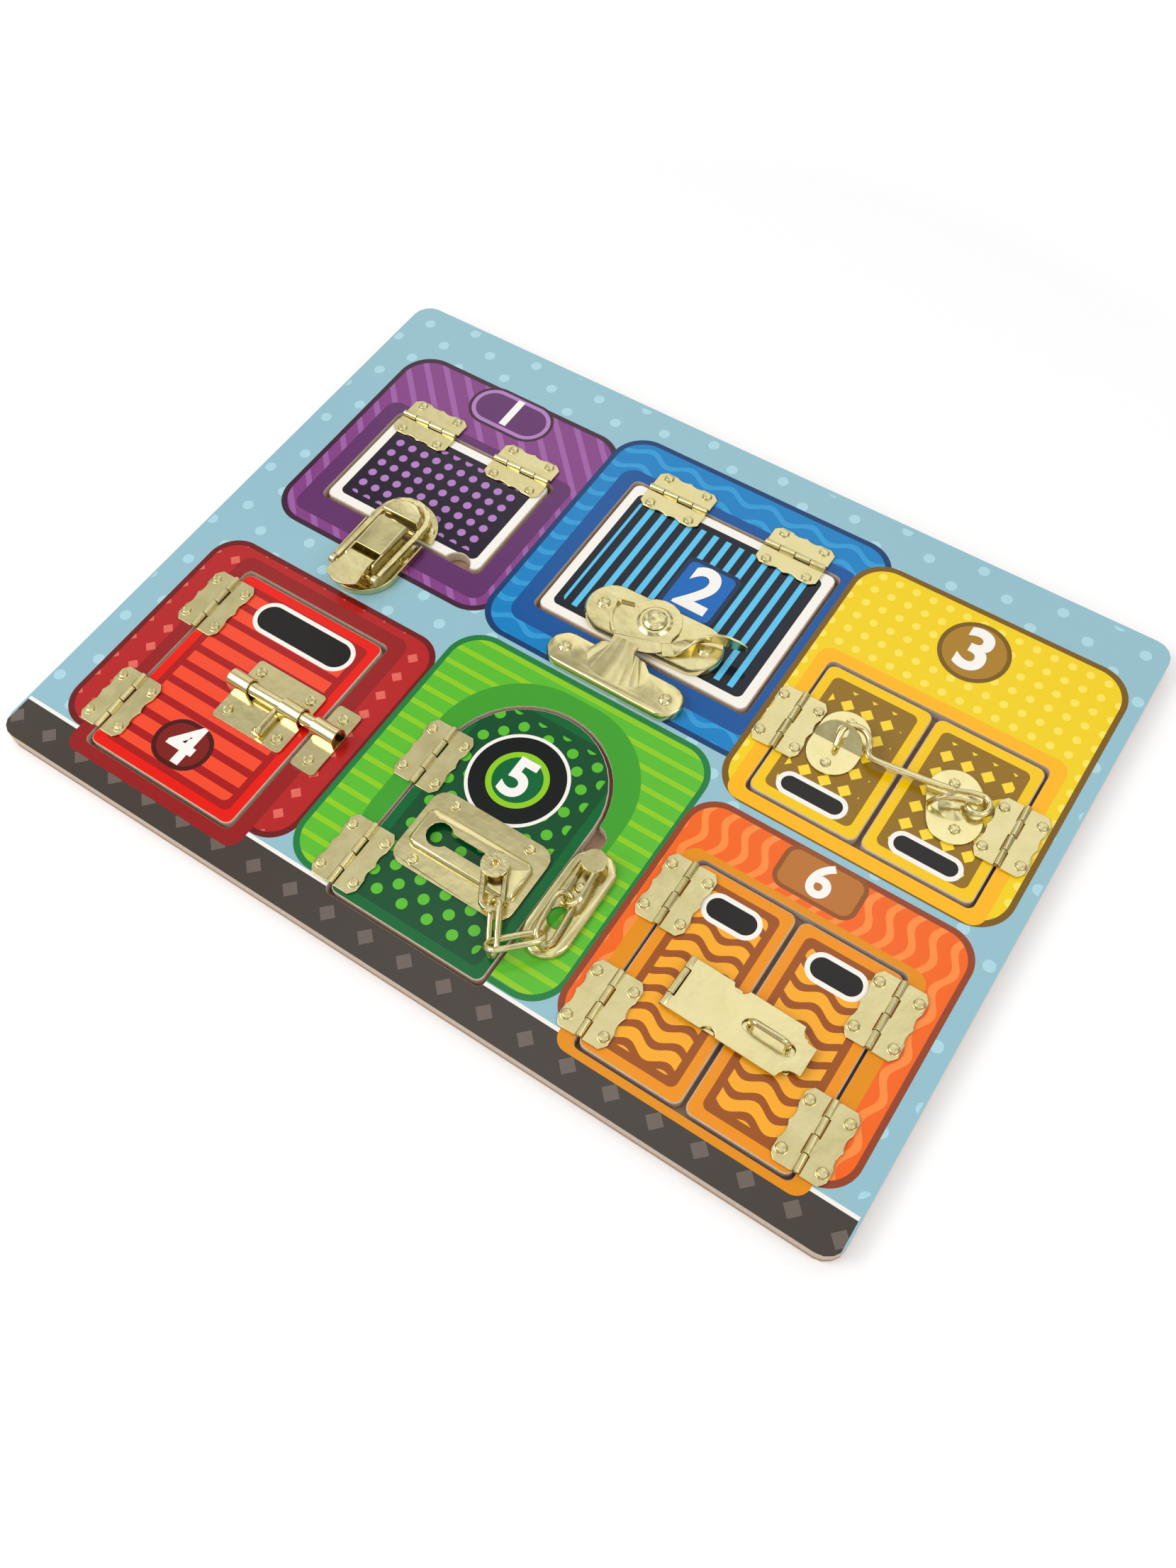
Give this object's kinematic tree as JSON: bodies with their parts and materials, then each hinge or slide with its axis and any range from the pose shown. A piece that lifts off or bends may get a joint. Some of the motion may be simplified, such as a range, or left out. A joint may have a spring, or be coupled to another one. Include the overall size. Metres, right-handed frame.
{
  "type": "wooden latch board",
  "caption": "Wooden latch board: hinged windows and doors lie flush in a printed panel, each held shut by a different brass latch for a child to work.",
  "frame": {"origin": "middle of the board's underside", "axes": "+X along the board's length to the right of its picture, +Y up the picture, +Z out of the printed face"},
  "size_m": [0.394, 0.294, 0.0223],
  "materials": {
    "printed_board": "gloss printed sheet on fibreboard",
    "raw_fibreboard": "bare sawn fibreboard",
    "purple_print": "gloss printed sheet on fibreboard",
    "blue_print": "gloss printed sheet on fibreboard",
    "yellow_print": "gloss printed sheet on fibreboard",
    "red_print": "gloss printed sheet on fibreboard",
    "green_print": "gloss printed sheet on fibreboard",
    "orange_print": "gloss printed sheet on fibreboard",
    "brassed_hinge": "brass plated sheet steel, lightly polished",
    "brassed_latch": "brass plated sheet steel, polished",
    "brassed_wire": "brass plated wire and bar, polished"
  },
  "bodies": {
    "board": {"front_board": "printed_board", "back_board": "raw_fibreboard", "hinge_1a_frame_leaf": "brassed_hinge", "hinge_1b_frame_leaf": "brassed_hinge", "hinge_2a_frame_leaf": "brassed_hinge", "hinge_2b_frame_leaf": "brassed_hinge", "hinge_3_left_frame_leaf": "brassed_hinge", "hinge_3_right_frame_leaf": "brassed_hinge", "hinge_4a_frame_leaf": "brassed_hinge", "hinge_4b_frame_leaf": "brassed_hinge", "hinge_5a_frame_leaf": "brassed_hinge", "hinge_5b_frame_leaf": "brassed_hinge", "hinge_6_left_a_frame_leaf": "brassed_hinge", "hinge_6_left_b_frame_leaf": "brassed_hinge", "hinge_6_right_a_frame_leaf": "brassed_hinge", "hinge_6_right_b_frame_leaf": "brassed_hinge", "draw_latch_base": "brassed_latch", "sash_lock_keeper": "brassed_latch", "bolt_keeper": "brassed_latch", "chain_anchor_plate": "brassed_latch"},
    "window_1": {"window_1": "purple_print", "hinge_1a_door_leaf": "brassed_hinge", "hinge_1b_door_leaf": "brassed_hinge", "draw_latch_keeper": "brassed_latch"},
    "window_2": {"window_2": "blue_print", "hinge_2a_door_leaf": "brassed_hinge", "hinge_2b_door_leaf": "brassed_hinge", "sash_lock_base": "brassed_latch"},
    "door_3_left": {"door_3_left": "yellow_print", "hinge_3_left_door_leaf": "brassed_hinge", "hook_catch_plate": "brassed_latch"},
    "door_3_right": {"door_3_right": "yellow_print", "hinge_3_right_door_leaf": "brassed_hinge", "hook_eye_plate": "brassed_latch"},
    "door_4": {"door_4": "red_print", "hinge_4a_door_leaf": "brassed_hinge", "hinge_4b_door_leaf": "brassed_hinge", "bolt_plate": "brassed_latch"},
    "door_5": {"door_5": "green_print", "hinge_5a_door_leaf": "brassed_hinge", "hinge_5b_door_leaf": "brassed_hinge", "chain_slide_plate": "brassed_latch"},
    "door_6_left": {"door_6_left": "orange_print", "hinge_6_left_a_door_leaf": "brassed_hinge", "hinge_6_left_b_door_leaf": "brassed_hinge", "hasp_base": "brassed_latch"},
    "door_6_right": {"door_6_right": "orange_print", "hinge_6_right_a_door_leaf": "brassed_hinge", "hinge_6_right_b_door_leaf": "brassed_hinge", "hasp_staple": "brassed_latch"},
    "draw_latch_lever": {"draw_latch_lever": "brassed_latch"},
    "draw_latch_bail": {"draw_latch_bail": "brassed_latch"},
    "sash_lock_cam": {"sash_lock_cam": "brassed_latch"},
    "hook": {"hook": "brassed_wire"},
    "bolt_rod": {"bolt_rod": "brassed_wire"},
    "chain_link_b": {"chain_link_b": "brassed_wire"},
    "chain_link_c": {"chain_link_c": "brassed_wire"},
    "chain_link_d": {"chain_link_d": "brassed_wire"},
    "chain_end_link": {"chain_end_link": "brassed_wire"},
    "hasp_strap": {"hasp_strap": "brassed_latch"}
  },
  "joints": [
    {"name": "window_1_lift", "type": "hinge", "parent": "board", "child": "window_1", "pos_m": [-0.11825, 0.0819, 0.0107], "axis": [-1, 0, 0], "range_deg": [0, 120]},
    {"name": "window_2_lift", "type": "hinge", "parent": "board", "child": "window_2", "pos_m": [0.00825, 0.1052, 0.0107], "axis": [-1, 0, 0], "range_deg": [0, 120]},
    {"name": "door_3_left_swing", "type": "hinge", "parent": "board", "child": "door_3_left", "pos_m": [0.0782, 0.0298, 0.0107], "axis": [0, -1, 0], "range_deg": [0, 120]},
    {"name": "door_3_right_swing", "type": "hinge", "parent": "board", "child": "door_3_right", "pos_m": [0.177, 0.0298, 0.0107], "axis": [0, 1, 0], "range_deg": [0, 120]},
    {"name": "door_4_swing", "type": "hinge", "parent": "board", "child": "door_4", "pos_m": [-0.1612, -0.0803, 0.0107], "axis": [0, -1, 0], "range_deg": [0, 120]},
    {"name": "door_5_swing", "type": "hinge", "parent": "board", "child": "door_5", "pos_m": [-0.0346, -0.08745, 0.0107], "axis": [0, -1, 0], "range_deg": [0, 104]},
    {"name": "door_6_left_swing", "type": "hinge", "parent": "board", "child": "door_6_left", "pos_m": [0.0804, -0.0868, 0.0107], "axis": [0, -1, 0], "range_deg": [0, 120]},
    {"name": "door_6_right_swing", "type": "hinge", "parent": "board", "child": "door_6_right", "pos_m": [0.17, -0.0868, 0.0107], "axis": [0, 1, 0], "range_deg": [0, 120]},
    {"name": "draw_latch_lever_lift", "type": "hinge", "parent": "board", "child": "draw_latch_lever", "pos_m": [-0.11825, -0.0013, 0.0158], "axis": [1, 0, 0], "range_deg": [-108, 0]},
    {"name": "draw_latch_bail_turn", "type": "hinge", "parent": "draw_latch_lever", "child": "draw_latch_bail", "pos_m": [-0.11825, -0.0066, 0.015], "axis": [1, 0, 0], "range_deg": [0, 150]},
    {"name": "sash_cam_turn", "type": "hinge", "parent": "window_2", "child": "sash_lock_cam", "pos_m": [0.0072, 0.0397, 0.013], "axis": [0, 0, -1], "range_deg": [-135, 0]},
    {"name": "hook_swing", "type": "hinge", "parent": "door_3_right", "child": "hook", "pos_m": [0.16008, 0.0336, 0.0136], "axis": [0, 0, 1], "range_deg": [-110, 0]},
    {"name": "bolt_slide", "type": "slide", "parent": "door_4", "child": "bolt_rod", "axis": [1, 0, 0], "range_m": [-0.0115, 0]},
    {"name": "hasp_strap_lift", "type": "hinge", "parent": "door_6_left", "child": "hasp_strap", "pos_m": [0.1, -0.0905, 0.0112], "axis": [0.0279, 0.9996, 0], "range_deg": [-160, 0]},
    {"name": "chain_link_b_lift", "type": "hinge", "parent": "board", "child": "chain_link_b", "pos_m": [0.04725, -0.08319, 0.01365], "axis": [0.6424, -0.7123, -0.2828], "range_deg": [-45, 0]},
    {"name": "chain_link_c_swing", "type": "hinge", "parent": "chain_link_b", "child": "chain_link_c", "pos_m": [0.04714, -0.10654, 0.01405], "axis": [0.2381, -0.6014, -0.7627], "range_deg": [-75, 0]},
    {"name": "chain_link_d_swing", "type": "hinge", "parent": "chain_link_c", "child": "chain_link_d", "pos_m": [0.03722, -0.12002, 0.01609], "axis": [-0.1241, -0.8125, -0.5696], "range_deg": [-75, 0]},
    {"name": "chain_end_link_lift", "type": "hinge", "parent": "chain_link_d", "child": "chain_end_link", "pos_m": [0.02816, -0.10454, 0.0153], "axis": [-0.4739, -0.8152, 0.333], "range_deg": [-90, 0]}
  ],
  "couplings": [
    {"joint": "door_3_left_swing", "follows": "door_3_right_swing", "ratio": 1},
    {"joint": "door_6_right_swing", "follows": "door_6_left_swing", "ratio": 1},
    {"joint": "draw_latch_bail_turn", "follows": "draw_latch_lever_lift", "ratio": -1.35}
  ]
}
